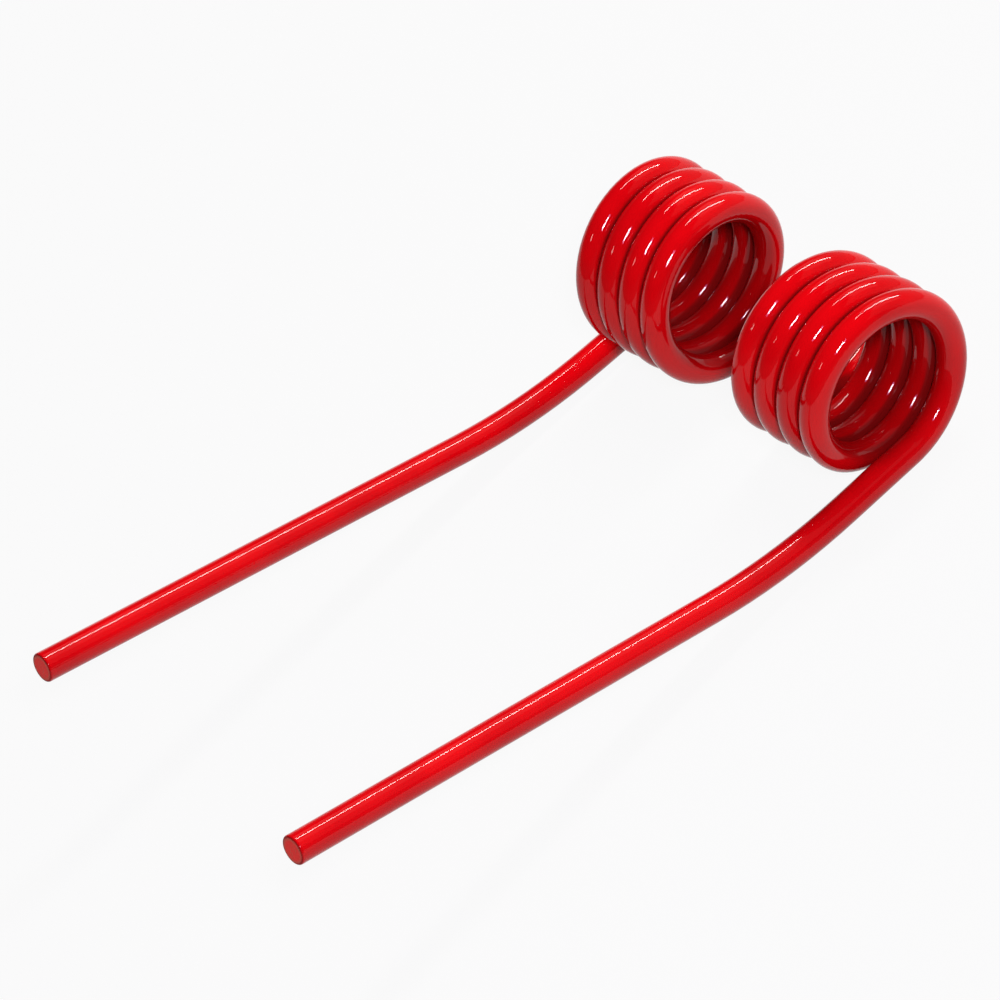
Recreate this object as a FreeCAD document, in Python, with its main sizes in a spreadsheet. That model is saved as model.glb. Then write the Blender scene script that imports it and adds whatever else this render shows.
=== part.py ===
# Pick-up tine of a baler, bent from one length of round spring wire
#
# Two close coils stand side by side on one cross axis and are wound as mirror
# images. A leg leaves the outer end of each coil at the bottom, runs forward,
# bends gently upward and ends in a square-cut tip. The inner ends meet in a
# flat U-shaped loop behind, which the clamping bolt passes through.
#
# Frame in millimetres: X across, along the coil axis; -Y forward, along the
# legs; +Z up. The origin is the middle of the bolt loop's bend, on the underside
# of the wire, so the coils, the leg roots and the loop all touch z = 0.

import FreeCAD, Part
import math
import os
import sys
import Sketcher

os.makedirs("parts", exist_ok=True)
doc = FreeCAD.newDocument("pickup_tine")

# Driving dimensions
sizes = [
    ("wire_diameter", 5.5, "spring wire"),
    ("coil_inside_diameter", 25.0, "clear bore of each coil"),
    ("turn_pitch", 5.75, "from one turn to the next, a hair over the wire"),
    ("turns_per_coil", 4.0, "full turns, from leg root to loop"),
    ("loop_inside_width", 15.0, "clear width of the bolt loop"),
    ("loop_run", 5.0, "straight sides of the loop"),
    ("lead_radius", 22.0, "easy bends between the coil's lead and the straight runs"),
    ("leg_splay", 0.5, "degrees outward"),
    ("root_length", 16.0, "straight from the coil to the leg's bend"),
    ("bend_radius", 116.0, "gentle bend of the leg"),
    ("bend_angle", 16.3, "degrees upward"),
    ("tip_length", 93.5, "straight from the bend to the tip"),
    ("tip_rounding", 0.4, "broken edge round the square-cut tip"),
]

# Sizes that follow from them
derived = [
    ("wire_radius", "=wire_diameter / 2"),
    ("coil_radius", "=(coil_inside_diameter + wire_diameter) / 2"),
    ("loop_radius", "=(loop_inside_width + wire_diameter) / 2"),
    ("lead_angle", "=atan(turn_pitch / (2 * pi * coil_radius)) / 1deg"),
    ("coil_length", "=turns_per_coil * turn_pitch"),
    ("coil_inner_x", "=loop_radius + lead_radius * (1 - cos(lead_angle))"),
    ("coil_outer_x", "=coil_inner_x + coil_length"),
    ("coil_axis_y", "=0 - loop_run - lead_radius * sin(lead_angle)"),
    ("coil_axis_z", "=wire_radius + coil_radius"),
    ("outer_lead_x", "=coil_outer_x - lead_radius * cos(lead_angle)"),
    ("outer_lead_y", "=coil_axis_y - lead_radius * sin(lead_angle)"),
    ("root_x", "=outer_lead_x + lead_radius * cos(leg_splay)"),
    ("root_y", "=outer_lead_y + lead_radius * sin(leg_splay)"),
]

sheet = doc.addObject("Spreadsheet::Sheet", "Dims")
row = 0
for alias, value, note in sizes:
    row += 1
    sheet.set("A%d" % row, alias)
    sheet.set("B%d" % row, str(value))
    sheet.set("C%d" % row, note)
    sheet.setAlias("B%d" % row, alias)
for alias, formula in derived:
    row += 1
    sheet.set("A%d" % row, alias)
    sheet.set("B%d" % row, formula)
    sheet.setAlias("B%d" % row, alias)
doc.recompute()
value = {alias: float(sheet.get(alias)) for alias, *rest in sizes + derived}


def bind(obj, formulas):
    """Ties properties or constraints of an object to the sheet."""
    for prop, formula in formulas.items():
        obj.setExpression(prop, formula)


def flat_arc(x, y, radius, first, span):
    """An arc in a sketch plane; angles in degrees, anticlockwise."""
    full = Part.Circle(FreeCAD.Vector(x, y, 0), FreeCAD.Vector(0, 0, 1), radius)
    return Part.ArcOfCircle(full, math.radians(first), math.radians(first + span))


def flat_line(x1, y1, x2, y2):
    return Part.LineSegment(FreeCAD.Vector(x1, y1, 0), FreeCAD.Vector(x2, y2, 0))


def constrain(sketch, kind, *args, formula=None):
    """Adds one constraint, and its formula where the sheet drives it."""
    index = sketch.addConstraint(Sketcher.Constraint(kind, *args))
    if formula:
        sketch.setExpression("Constraints[%d]" % index, formula)


def round_section(name, spine):
    """The round section of the wire, square to the start of a run."""
    circle = doc.addObject("Part::Circle", name)
    circle.AttachmentSupport = [(spine, "Edge1")]
    circle.MapMode = "NormalToEdge"
    circle.MapPathParameter = 0
    bind(circle, {"Radius": "Dims.wire_radius"})
    return circle


def bent_wire(name, spine, frenet=False):
    """Carries the round section along a run of the wire."""
    section = round_section(name + "Section", spine)
    doc.recompute()
    sweep = doc.addObject("Part::Sweep", name)
    sweep.Sections = [section]
    sweep.Spine = (spine, ["Edge%d" % (k + 1) for k in range(len(spine.Shape.Edges))])
    sweep.Solid = True
    sweep.Frenet = frenet
    return sweep


# Names for the places that sketch constraints refer to: the points of a curve,
# and the sketch's own axes, which are numbered downward
start, end, centre = range(1, 4)
x_axis = -1
y_axis = x_axis - 1
origin = (x_axis, start)

# Right half of the bolt loop, seen from above: a quarter bend, a straight side,
# and the easy bend that turns the wire into the slope of the coil
loop_path = doc.addObject("Sketcher::SketchObject", "LoopPath")
bend, side, lead = range(3)
radius, run, ease = value["loop_radius"], value["loop_run"], value["lead_radius"]
loop_path.addGeometry(flat_arc(0, 0, radius, 0, 90))
loop_path.addGeometry(flat_line(radius, 0, radius, -run))
loop_path.addGeometry(flat_arc(radius + ease, -run, ease, 180, value["lead_angle"]))
constrain(loop_path, "Coincident", bend, centre, *origin)
constrain(loop_path, "PointOnObject", bend, start, x_axis)
constrain(loop_path, "PointOnObject", bend, end, y_axis)
constrain(loop_path, "Radius", bend, radius, formula="Dims.loop_radius")
constrain(loop_path, "Tangent", bend, start, side, start)
constrain(loop_path, "Distance", side, run, formula="Dims.loop_run")
constrain(loop_path, "Tangent", side, end, lead, start)
constrain(loop_path, "Radius", lead, ease, formula="Dims.lead_radius")
constrain(loop_path, "Angle", lead, math.radians(value["lead_angle"]), formula="Dims.lead_angle * 1deg")
bind(loop_path, {"Placement.Base.z": "Dims.wire_radius"})

# Right coil, from the loop outward: it leaves the bottom forward and climbs the
# front, the hand opposite to a common screw
coil_path = doc.addObject("Part::Helix", "CoilPath")
coil_path.LocalCoord = "Left-handed"
coil_path.Style = "New style"
bind(coil_path, {
    "Radius": "Dims.coil_radius",
    "Pitch": "Dims.turn_pitch",
    "Height": "Dims.coil_length",
    "Placement": "create(<<placement>>; create(<<vector>>; Dims.coil_inner_x; Dims.coil_axis_y;"
                 " Dims.coil_axis_z); create(<<rotation>>; create(<<vector>>; 0; 1; 0); 90))",
})

# Outer lead: the coil's slope eases into the line of the leg
outer_lead = doc.addObject("Part::Torus", "OuterLead")
bind(outer_lead, {
    "Radius1": "Dims.lead_radius",
    "Radius2": "Dims.wire_radius",
    "Angle3": "Dims.lead_angle - Dims.leg_splay",
    "Placement": "create(<<placement>>; create(<<vector>>; Dims.outer_lead_x; Dims.outer_lead_y;"
                 " Dims.wire_radius); create(<<rotation>>; create(<<vector>>; 0; 0; 1); Dims.leg_splay))",
})

# Right leg, seen from the side in its own upright plane, which stands off the
# straight-ahead direction by the splay
leg_path = doc.addObject("Sketcher::SketchObject", "LegPath")
root, knee, tip = range(3)
length, radius, turn = value["root_length"], value["bend_radius"], value["bend_angle"]
across = length + radius * math.sin(math.radians(turn))
rise = radius * (1 - math.cos(math.radians(turn)))
leg_path.addGeometry(flat_line(0, 0, length, 0))
leg_path.addGeometry(flat_arc(length, radius, radius, -90, turn))
leg_path.addGeometry(flat_line(
    across, rise,
    across + value["tip_length"] * math.cos(math.radians(turn)),
    rise + value["tip_length"] * math.sin(math.radians(turn))))
constrain(leg_path, "Coincident", root, start, *origin)
constrain(leg_path, "Horizontal", root)
constrain(leg_path, "Distance", root, length, formula="Dims.root_length")
constrain(leg_path, "Tangent", root, end, knee, start)
constrain(leg_path, "Radius", knee, radius, formula="Dims.bend_radius")
constrain(leg_path, "Angle", knee, math.radians(turn), formula="Dims.bend_angle * 1deg")
constrain(leg_path, "Tangent", knee, end, tip, start)
constrain(leg_path, "Distance", tip, value["tip_length"], formula="Dims.tip_length")
bind(leg_path, {
    "Placement": "create(<<placement>>; create(<<vector>>; Dims.root_x; Dims.root_y; Dims.wire_radius);"
                 " create(<<rotation>>; create(<<vector>>; 0; 0; 1); Dims.leg_splay - 90)"
                 " * create(<<rotation>>; create(<<vector>>; 1; 0; 0); 90))",
})
doc.recompute()

loop_half = bent_wire("LoopHalf", loop_path)
coil = bent_wire("Coil", coil_path, frenet=True)
leg = bent_wire("Leg", leg_path)
doc.recompute()


def tip_edge(shape):
    """The rim of the cut face, which is the edge farthest forward."""
    numbered = enumerate(shape.Edges, start=1)
    return min(numbered, key=lambda item: item[1].CenterOfMass.y)[0]


# Square-cut tip with a broken edge
leg_end = doc.addObject("Part::Fillet", "LegEnd")
leg_end.Base = leg
leg_end.Edges = [(tip_edge(leg.Shape), value["tip_rounding"], value["tip_rounding"])]

# One half of the bar, its mirror image across the middle of the loop, and both
# as one piece
half = doc.addObject("Part::MultiFuse", "RightHalf")
half.Shapes = [loop_half, coil, outer_lead, leg_end]
mirrored = doc.addObject("Part::Mirroring", "LeftHalf")
mirrored.Source = half
mirrored.Base = (0, 0, 0)
mirrored.Normal = (1, 0, 0)
tine = doc.addObject("Part::MultiFuse", "Tine")
tine.Label = "pickup_tine"
tine.Shapes = [half, mirrored]
tine.Refine = True
doc.recompute()

# Nothing is written unless the whole document is sound
failed = [obj.Name for obj in doc.Objects if "Invalid" in obj.State or "Error" in obj.State]
if failed:
    sys.exit("failed: " + ", ".join(failed))
shape = tine.Shape
if shape.isNull() or not shape.isValid() or len(shape.Solids) != 1:
    sys.exit("the tine is not one sound solid")

# The bar's volume against its section times the length of its centreline
centreline = 2 * sum(path.Shape.Length for path in (loop_path, coil_path, leg_path))
centreline += 2 * value["lead_radius"] * math.radians(value["lead_angle"] - value["leg_splay"])
section = math.pi * value["wire_radius"] ** 2
print("wire length %.1f mm, volume %.0f mm3, section x length %.0f mm3"
      % (centreline, shape.Volume, section * centreline))
print("box", shape.BoundBox)

shape.exportStep("parts/%s.step" % tine.Label)
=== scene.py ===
# Baler pick-up tine: looks, studio and camera
import math

import bpy
from mathutils import Matrix, Vector

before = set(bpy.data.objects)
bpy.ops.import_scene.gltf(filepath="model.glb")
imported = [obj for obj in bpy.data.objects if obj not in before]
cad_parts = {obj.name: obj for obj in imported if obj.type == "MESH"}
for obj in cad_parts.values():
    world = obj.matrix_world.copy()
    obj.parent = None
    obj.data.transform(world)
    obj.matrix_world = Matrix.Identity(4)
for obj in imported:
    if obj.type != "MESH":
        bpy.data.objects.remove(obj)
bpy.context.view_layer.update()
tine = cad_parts["pickup_tine"]
mm = 0.001
print("frame loaded:", len(tine.data.polygons), "faces on the tine")

# Driving sizes of the bent wire, as the solid has them; the shader finds the
# creases between turns and the cut tips by them
sizes = {
    "wire": 5.5 * mm,
    "coilInside": 25.0 * mm,
    "pitch": 5.75 * mm,
    "turns": 4,
    "loopWidth": 15.0 * mm,
    "loopRun": 5.0 * mm,
    "leadRadius": 22.0 * mm,
    "splay": 0.5,
    "rootLength": 16.0 * mm,
    "bendRadius": 116.0 * mm,
    "bendAngle": 16.3,
    "tipLength": 93.5 * mm,
}

# What follows from them: the coils' radius and slope, how far out the coils
# end, and where their axis lies
wireRadius = sizes["wire"] / 2
coilRadius = (sizes["coilInside"] + sizes["wire"]) / 2
slope = math.atan(sizes["pitch"] / (2 * math.pi * coilRadius))
loopRadius = (sizes["loopWidth"] + sizes["wire"]) / 2
coilInnerX = loopRadius + sizes["leadRadius"] * (1 - math.cos(slope))
coilOuterX = coilInnerX + sizes["turns"] * sizes["pitch"]
coilAxisY = -sizes["loopRun"] - sizes["leadRadius"] * math.sin(slope)
coilAxisZ = wireRadius + coilRadius


def direction(azimuth, elevation):
    # unit vector; azimuth runs in degrees from +X towards +Y
    across = math.radians(azimuth)
    rise = math.radians(elevation)
    flat = math.cos(rise)
    return Vector((math.cos(across) * flat, math.sin(across) * flat, math.sin(rise)))


def legTip():
    # middle of the right leg's cut face, and the way the leg points there
    splay = math.radians(sizes["splay"])
    bend = math.radians(sizes["bendAngle"])
    bent = sizes["bendRadius"]
    run = sizes["rootLength"] + bent * math.sin(bend) + sizes["tipLength"] * math.cos(bend)
    rise = bent * (1 - math.cos(bend)) + sizes["tipLength"] * math.sin(bend)
    rootX = coilOuterX + sizes["leadRadius"] * (math.cos(splay) - math.cos(slope))
    rootY = coilAxisY - sizes["leadRadius"] * (math.sin(slope) - math.sin(splay))
    tipX = rootX + run * math.sin(splay)
    tipY = rootY - run * math.cos(splay)
    tip = Vector((tipX, tipY, wireRadius + rise))
    return tip, direction(sizes["splay"] - 90, sizes["bendAngle"])


# Shader expressions: a Term wraps a socket, and arithmetic on it adds nodes


class Term:
    def __init__(self, shader, socket):
        self.shader = shader
        self.socket = socket

    def isWide(self):
        return self.socket.type in ("VECTOR", "RGBA")

    def maths(self, operation, *others, wide=False):
        # a colour or vector on either side makes it vector maths
        terms = [self] + list(others)
        for term in terms:
            wide = wide or isinstance(term, (tuple, Vector))
            wide = wide or (isinstance(term, Term) and term.isWide())
        return self.shader.maths(operation, terms, wide)

    def __add__(self, other):
        return self.maths("ADD", other)

    __radd__ = __add__

    def __sub__(self, other):
        return self.maths("SUBTRACT", other)

    def __rsub__(self, other):
        return self.maths("MULTIPLY", -1.0).maths("ADD", other)

    def __mul__(self, other):
        return self.maths("MULTIPLY", other)

    __rmul__ = __mul__

    def __truediv__(self, other):
        return self.maths("DIVIDE", other)

    def __abs__(self):
        return self.maths("ABSOLUTE")

    def larger(self, other):
        return self.maths("MAXIMUM", other)

    def above(self, edge):
        return self.maths("GREATER_THAN", edge)

    def rounded(self):
        return self.maths("ROUND")

    def fraction(self):
        return self.maths("FRACT")

    def angleFrom(self, other):
        # in turns, from minus a half to a half
        return self.maths("ARCTAN2", other) / (2 * math.pi)

    def dot(self, other):
        return self.maths("DOT_PRODUCT", other, wide=True)

    def length(self):
        return self.maths("LENGTH", wide=True)


class Shader:
    # the node tree of one material or world
    def __init__(self, owner):
        owner.use_nodes = True
        self.owner = owner
        self.tree = owner.node_tree
        self.tree.nodes.clear()

    def plug(self, socket, value):
        if isinstance(value, Term):
            self.tree.links.new(value.socket, socket)
        elif isinstance(value, (int, float)) and socket.type in ("VECTOR", "RGBA"):
            socket.default_value = [value] * len(socket.default_value)
        elif socket.type == "RGBA" and len(value) == 3:
            socket.default_value = (*value, 1)
        else:
            socket.default_value = value

    def add(self, kind, settings=None, sockets=None, output=0):
        # a node: its settings first, then the values or links of its sockets
        node = self.tree.nodes.new(kind)
        for name, value in (settings or {}).items():
            setattr(node, name, value)
        for name, value in (sockets or {}).items():
            self.plug(node.inputs[name], value)
        return Term(self, node.outputs[output]) if node.outputs else node

    def maths(self, operation, terms, wide):
        kind = "ShaderNodeVectorMath" if wide else "ShaderNodeMath"
        output = "Value" if operation in ("DOT_PRODUCT", "LENGTH") else 0
        return self.add(kind, {"operation": operation}, dict(enumerate(terms)), output)

    def position(self):
        return self.add("ShaderNodeTexCoord", output="Object")

    def split(self, vector):
        kind = "ShaderNodeSeparateXYZ"
        return [self.add(kind, None, {"Vector": vector}, part) for part in range(3)]

    def join(self, x, y, z):
        return self.add("ShaderNodeCombineXYZ", None, {"X": x, "Y": y, "Z": z})

    def noise(self, at, size, detail=2.0, roughness=0.5):
        # size is the width of the pattern in metres
        return self.add("ShaderNodeTexNoise", {"noise_dimensions": "3D"}, {
            "Vector": at,
            "Scale": 1 / size,
            "Detail": detail,
            "Roughness": roughness,
        })

    def specks(self, at, spacing):
        # distance to the nearest of loosely scattered points, in metres
        wanted = {"Vector": at, "Scale": 1 / spacing}
        return self.add("ShaderNodeTexVoronoi", None, wanted, "Distance") * spacing

    def ramp(self, value, low, high):
        # 0 at low and 1 at high, eased between them; low may be the larger
        wanted = {"Value": value, "From Min": low, "From Max": high}
        eased = {"interpolation_type": "SMOOTHSTEP"}
        return self.add("ShaderNodeMapRange", eased, wanted, "Result")

    def blend(self, factor, first, second):
        # colours: first where factor is 0, second where it is 1
        wanted = {0: factor, 6: first, 7: second}
        return self.add("ShaderNodeMix", {"data_type": "RGBA"}, wanted, 2)

    def fade(self, factor, first, second):
        # the same for plain numbers
        wanted = {0: factor, 2: first, 3: second}
        return self.add("ShaderNodeMix", {"data_type": "FLOAT"}, wanted, 0)

    def bump(self, height):
        # height in metres
        wanted = {"Height": height, "Strength": 1.0, "Distance": 1.0}
        return self.add("ShaderNodeBump", None, wanted)

    def finish(self, surface):
        isWorld = isinstance(self.owner, bpy.types.World)
        kind = "ShaderNodeOutputWorld" if isWorld else "ShaderNodeOutputMaterial"
        self.add(kind, None, {"Surface": surface})


# Glossy red paint over the whole tine, with painted shade in the creases and bores of the
# coils;
# thin and dull over the sheared ends, with painted shade round their rims
paint = {
    "red": (0.60, 0.0012, 0.0035),
    "deepRed": (0.50, 0.0008, 0.0030),
    "boreShadeRed": (0.34, 0.0008, 0.0020),
    "creaseShadeRed": (0.13, 0.003, 0.003),
    "creaseShadeShare": 0.9,
    "cutRed": (0.84, 0.027, 0.020),
    "cutBrown": (0.46, 0.10, 0.055),
    "cutBrownShare": 0.75,
    "rimShadeRed": (0.30, 0.003, 0.004),
    "coatIndex": 1.3,
    "gloss": 0.05,
    "underRoughness": 0.42,
    "cutRoughness": 0.60,
    "cutCoat": 0.3,
    "driftSize": 14 * mm,
    "driftFrom": 0.35,
    "driftTo": 0.75,
    "waveSize": 4.0 * mm,
    "waveHeight": 0.008 * mm,
    "peelSize": 1.1 * mm,
    "peelHeight": 0.0007 * mm,
    "nibSpacing": 3.8 * mm,
    "nibRadius": 0.28 * mm,
    "nibHeight": 0.06 * mm,
    "cutFrom": -0.22 * mm,
    "cutTo": -0.066 * mm,
    "streakSize": 0.35 * mm,
    "streakHeight": 0.012 * mm,
    "streakStretch": 0.15,
    "streakReach": 0.8 * mm,
    "streakFrom": 0.55,
    "streakTo": 0.75,
    "brownFrom": 2.0 * mm,
    "brownTo": 2.7 * mm,
    "rimFrom": 2.15 * mm,
    "rimTo": 2.5 * mm,
}

# How far the painted shade in the creases between turns spreads, in shares of the wire's
# radius, and how long leg and loop lie beside a coil, in turns
creases = {
    "sideFrom": 0.82,
    "sideTo": 0.98,
    "depthFrom": 0.7,
    "depthTo": 0.3,
    "boreDepth": 0.7,
    "widerInBore": 0.24,
    "joining": 0.2,
}


def coilShadeMasks(shader, at):
    # two masks of painted shade: where two turns of a coil meet, and the side of a coil that
    # faces its bore
    x, y, z = shader.split(at)
    back = y - coilAxisY
    up = z - coilAxisZ
    # how far round from the bottom, and which turn: whole in the middle of the wire
    turned = (up.angleFrom(back) + 0.25).fraction()
    turn = (coilOuterX - abs(x)) / sizes["pitch"] - turned
    offset = abs(turn - turn.rounded()) * sizes["pitch"]
    ring = shader.join(0.0, back, up).length()

    # painted shade on the side that faces the bore, where the painted crease shade also
    # spreads wider
    boreShade = shader.ramp(ring, coilRadius, coilRadius - wireRadius * creases["boreDepth"])
    boreShade = boreShade * shader.ramp(abs(x), coilOuterX + wireRadius, coilOuterX - wireRadius)
    wider = boreShade * wireRadius * creases["widerInBore"]
    sides = [wireRadius * creases[name] for name in ("sideFrom", "sideTo")]
    depths = [wireRadius * creases[name] for name in ("depthFrom", "depthTo")]
    beside = shader.ramp(offset + wider, *sides)
    level = shader.ramp(abs(ring - coilRadius) - wider, *depths)

    # the outer side of the first turn is free, but for where the leg joins, and so is the
    # inner side of the last one, but for where the loop does
    nearLeg = shader.ramp(turned, 1 - creases["joining"], 1.0) * turn.above(-1.0)
    nearLoop = shader.ramp(turned, creases["joining"], 0.0) * (1 - turn.above(sizes["turns"]))
    pastFirst = turn.above(0.0).larger(nearLeg)
    beforeLast = (1 - turn.above(sizes["turns"] - 1.0)).larger(nearLoop)
    return beside * level * (pastFirst * beforeLast), boreShade


def cutEnd(shader, at):
    # how much a point is on a sheared end, how far it is from the wire's middle, and its
    # place with heights squeezed, so that a pattern is drawn out along the marks of the shear
    x, y, z = shader.split(at)
    tip, along = legTip()
    fromTip = shader.join(abs(x), y, z) - tip
    reach = fromTip.dot(along)
    side = along.cross(Vector((0, 0, 1))).normalized()
    rise = side.cross(along)
    across = fromTip.dot(side)
    height = fromTip.dot(rise)
    fromMiddle = shader.join(across, height, 0.0).length()
    onFace = shader.ramp(reach, paint["cutFrom"], paint["cutTo"])
    return onFace, fromMiddle, shader.join(across, height * paint["streakStretch"], 0.0)


def paintTine():
    shader = Shader(bpy.data.materials.new("glossRedPaint"))
    at = shader.position()
    paintedCreaseShade, boreShade = coilShadeMasks(shader, at)
    onFace, fromMiddle, marks = cutEnd(shader, at)

    drift = shader.noise(at, paint["driftSize"], 3.0)
    drift = shader.ramp(drift, paint["driftFrom"], paint["driftTo"])
    colour = shader.blend(drift, paint["red"], paint["deepRed"])
    # painted shade: darker paint on the side of each coil that faces its bore
    colour = shader.blend(boreShade, colour, paint["boreShadeRed"])
    # painted shade: much darker paint in the creases between turns
    colour = shader.blend(paintedCreaseShade * paint["creaseShadeShare"], colour, paint["creaseShadeRed"])

    # steel shows through the thin paint of the ends, in streaks and towards the rim
    streaks = shader.noise(marks, paint["streakSize"], 3.0)
    outward = fromMiddle + streaks * paint["streakReach"]
    bare = shader.ramp(outward, paint["brownFrom"], paint["brownTo"])
    bare = bare.larger(shader.ramp(streaks, paint["streakFrom"], paint["streakTo"]))
    bare = bare * paint["cutBrownShare"]
    cutColour = shader.blend(bare, paint["cutRed"], paint["cutBrown"])
    # painted shade: a darker ring round the rim of each cut face, on its rounded edge
    rim = shader.ramp(fromMiddle, paint["rimFrom"], paint["rimTo"])
    cutColour = shader.blend(rim, cutColour, paint["rimShadeRed"])
    colour = shader.blend(onFace, colour, cutColour)

    # low waves and orange peel over all, nibs of dust, and the marks of the shear
    waves = shader.noise(at, paint["waveSize"], 1.0) * paint["waveHeight"]
    peel = shader.noise(at, paint["peelSize"], 1.0) * paint["peelHeight"]
    dust = shader.specks(at, paint["nibSpacing"])
    nibs = shader.ramp(dust, paint["nibRadius"], 0.0) * paint["nibHeight"]
    shear = streaks * onFace * paint["streakHeight"]

    # the clear coat alone gives the gloss
    surface = shader.add("ShaderNodeBsdfPrincipled", None, {
        "Base Color": colour,
        "Roughness": shader.fade(onFace, paint["underRoughness"], paint["cutRoughness"]),
        "Specular IOR Level": 0.0,
        "Coat Weight": shader.fade(onFace, 1.0, paint["cutCoat"]),
        "Coat Roughness": paint["gloss"],
        "Coat IOR": paint["coatIndex"],
        "Normal": shader.bump(waves + peel + nibs + shear),
    })
    shader.finish(surface)
    tine.data.materials.clear()
    tine.data.materials.append(shader.owner)


paintTine()
print("tine painted")

# Studio: a white floor, bright strips and two large dim boxes behind, and
# small lamps near the camera and to the side
studio = {
    "aim": (0.0, -0.045, 0.018),
    "floorSize": 6.0,
    "floorColour": (0.36, 0.36, 0.36),
    "floorGlow": 0.92,
    "skyColour": (0.02, 0.02, 0.022),
    "skyFrom": 0.40,
    "horizonColour": (0.13, 0.13, 0.13),
    "horizonTo": 0.10,
}

# azimuth from +X towards +Y, elevation, distance, width, height, turn about the beam,
# brightness, colour
lamps = {
    "keyStrip": (104, 43, 1.0, 0.080, 0.74, -24, 42.0, (1.0, 0.98, 0.95)),
    "keyUpper": (129, 65, 1.0, 0.08, 0.16, -24, 32.0, (1.0, 0.97, 0.94)),
    "boxAround": (103, 43, 1.05, 1.10, 0.60, 0, 0.45, (1.0, 0.98, 0.96)),
    "boxWhole": (82, 30, 1.1, 2.1, 1.2, 0, 0.25, (1.0, 1.0, 1.0)),
    "nearCamera": (-22, 47, 1.0, 0.20, 0.125, 31, 102.0, (0.96, 0.92, 1.0)),
    "nearCameraEdge": (-22, 47, 1.01, 0.30, 0.16, 31, 12.0, (0.66, 0.40, 1.0)),
    "sideLamp": (-106, 44, 1.0, 0.10, 0.12, 0, 14.0, (1.0, 0.96, 0.92)),
}


def makeFloor():
    size = studio["floorSize"] / 2
    mesh = bpy.data.meshes.new("floor")
    corners = [(-size, -size, 0), (size, -size, 0), (size, size, 0), (-size, size, 0)]
    mesh.from_pydata(corners, [], [(0, 1, 2, 3)])
    floor = bpy.data.objects.new("floor", mesh)
    bpy.context.scene.collection.objects.link(floor)
    shader = Shader(bpy.data.materials.new("paleFloor"))
    matte = shader.add("ShaderNodeBsdfDiffuse", None, {"Color": studio["floorColour"]})
    white = shader.add("ShaderNodeEmission", None, {"Strength": 1.0})
    seen = shader.add("ShaderNodeLightPath", output="Is Camera Ray")
    for kind in ("Is Glossy Ray", "Is Transmission Ray"):
        seen = seen.larger(shader.add("ShaderNodeLightPath", output=kind))
    # seen directly or in the gloss, the floor is mostly white; what is left keeps the shadow
    glow = seen * studio["floorGlow"]
    shader.finish(shader.add("ShaderNodeMixShader", None, {0: glow, 1: matte, 2: white}))
    mesh.materials.append(shader.owner)


def placeLamp(name, azimuth, elevation, distance, width, height, turn, brightness, colour):
    lamp = bpy.data.lights.new(name, "AREA")
    lamp.shape = "RECTANGLE"
    lamp.size = width
    lamp.size_y = height
    lamp.energy = brightness * math.pi * width * height
    lamp.color = colour
    holder = bpy.data.objects.new(name, lamp)
    holder.visible_camera = False
    bpy.context.scene.collection.objects.link(holder)
    back = direction(azimuth, elevation)
    side = Vector((0, 0, 1)).cross(back).normalized()
    up = back.cross(side)
    facing = Matrix((side, up, back)).transposed().to_4x4()
    spot = Matrix.Translation(Vector(studio["aim"]) + back * distance)
    holder.matrix_world = spot @ facing @ Matrix.Rotation(math.radians(turn), 4, "Z")


def lightWorld():
    # dim overhead, paler towards the horizon
    world = bpy.data.worlds.new("studio")
    shader = Shader(world)
    z = shader.split(shader.position())[2]
    low = shader.ramp(z, studio["skyFrom"], studio["horizonTo"])
    colour = shader.blend(low, studio["skyColour"], studio["horizonColour"])
    shader.finish(shader.add("ShaderNodeBackground", None, {"Color": colour}))
    bpy.context.scene.world = world


makeFloor()
for lampName, settings in lamps.items():
    placeLamp(lampName, *settings)
lightWorld()
print("studio lit by", len(lamps), "lamps")

# Camera, where the photograph was taken from
view = {
    "place": (0.574757, -0.361449, 0.654833),
    "turn": (43.686, 15.261, 47.632),
    "lens": 186.73,
    "sensor": 36,
    "nearest": 0.01,
}


def placeCamera():
    data = bpy.data.cameras.new("photoView")
    data.lens = view["lens"]
    data.sensor_width = view["sensor"]
    data.clip_start = view["nearest"]
    camera = bpy.data.objects.new("photoView", data)
    camera.location = view["place"]
    camera.rotation_euler = [math.radians(a) for a in view["turn"]]
    bpy.context.scene.collection.objects.link(camera)
    bpy.context.scene.camera = camera


placeCamera()
bpy.context.scene.view_settings.view_transform = "Standard"
print("camera placed")
